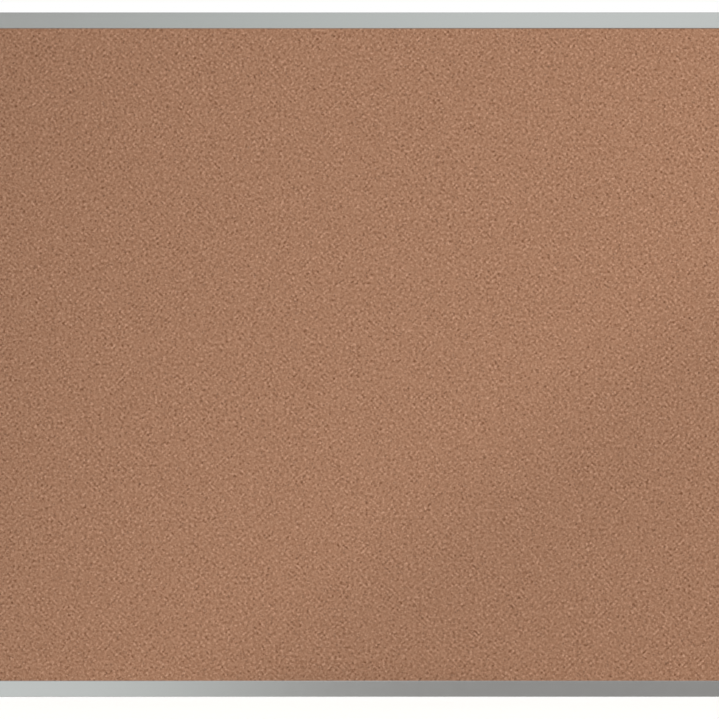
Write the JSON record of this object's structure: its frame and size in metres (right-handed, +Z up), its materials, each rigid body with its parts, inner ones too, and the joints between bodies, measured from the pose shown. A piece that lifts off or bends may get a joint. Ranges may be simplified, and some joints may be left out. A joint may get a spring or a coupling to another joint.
{
  "type": "framed cork bulletin board",
  "caption": "Wide wall-hung cork bulletin board: satin aluminium frame with mitred corners, granulated cork face on a fibreboard core, and keyhole hangers that slide along the rear tracks.",
  "frame": {"origin": "centre of the overall box: midway between the ends, midway between top and bottom edges, and midway between the front of the trim and the backs of the bumper pads", "axes": "+X to the viewer's right along the width, +Y from the pinning face towards the wall, +Z up"},
  "size_m": [1.8288, 0.023, 1.2192],
  "materials": {
    "anodised_aluminium": "satin clear-anodised",
    "cork": "sanded granulated cork",
    "fibreboard": "pressed wood fibre",
    "kraft_liner": "coated brown kraft",
    "cast_key": "die-cast, matt",
    "zinc_plated_steel": "bright zinc plated",
    "bumper_rubber": "matt black"
  },
  "bodies": {
    "board": {"cork_sheet": "cork", "fibreboard_core": "fibreboard", "moisture_liner": "kraft_liner", "top_rail": "anodised_aluminium", "bottom_rail": "anodised_aluminium", "left_rail": "anodised_aluminium", "right_rail": "anodised_aluminium", "corner_key_top_left": "cast_key", "corner_key_top_right": "cast_key", "corner_key_bottom_left": "cast_key", "corner_key_bottom_right": "cast_key", "corner_key_screws": "zinc_plated_steel", "bumper_top_left": "bumper_rubber", "bumper_top_right": "bumper_rubber", "bumper_bottom_left": "bumper_rubber", "bumper_bottom_right": "bumper_rubber"},
    "hanger_top_left": {"hanger_plate_top_left": "zinc_plated_steel", "track_nut_top_left": "zinc_plated_steel", "clamp_screws_top_left": "zinc_plated_steel"},
    "hanger_top_right": {"hanger_plate_top_right": "zinc_plated_steel", "track_nut_top_right": "zinc_plated_steel", "clamp_screws_top_right": "zinc_plated_steel"},
    "hanger_bottom_left": {"hanger_plate_bottom_left": "zinc_plated_steel", "track_nut_bottom_left": "zinc_plated_steel", "clamp_screws_bottom_left": "zinc_plated_steel"},
    "hanger_bottom_right": {"hanger_plate_bottom_right": "zinc_plated_steel", "track_nut_bottom_right": "zinc_plated_steel", "clamp_screws_bottom_right": "zinc_plated_steel"}
  },
  "joints": [
    {"name": "hanger_slide_top_left", "type": "slide", "parent": "board", "child": "hanger_top_left", "axis": [1, 0, 0], "range_m": [-0.239, 0.569]},
    {"name": "hanger_slide_top_right", "type": "slide", "parent": "board", "child": "hanger_top_right", "axis": [1, 0, 0], "range_m": [-0.569, 0.239]},
    {"name": "hanger_slide_bottom_left", "type": "slide", "parent": "board", "child": "hanger_bottom_left", "axis": [1, 0, 0], "range_m": [-0.239, 0.569]},
    {"name": "hanger_slide_bottom_right", "type": "slide", "parent": "board", "child": "hanger_bottom_right", "axis": [1, 0, 0], "range_m": [-0.569, 0.239]}
  ]
}
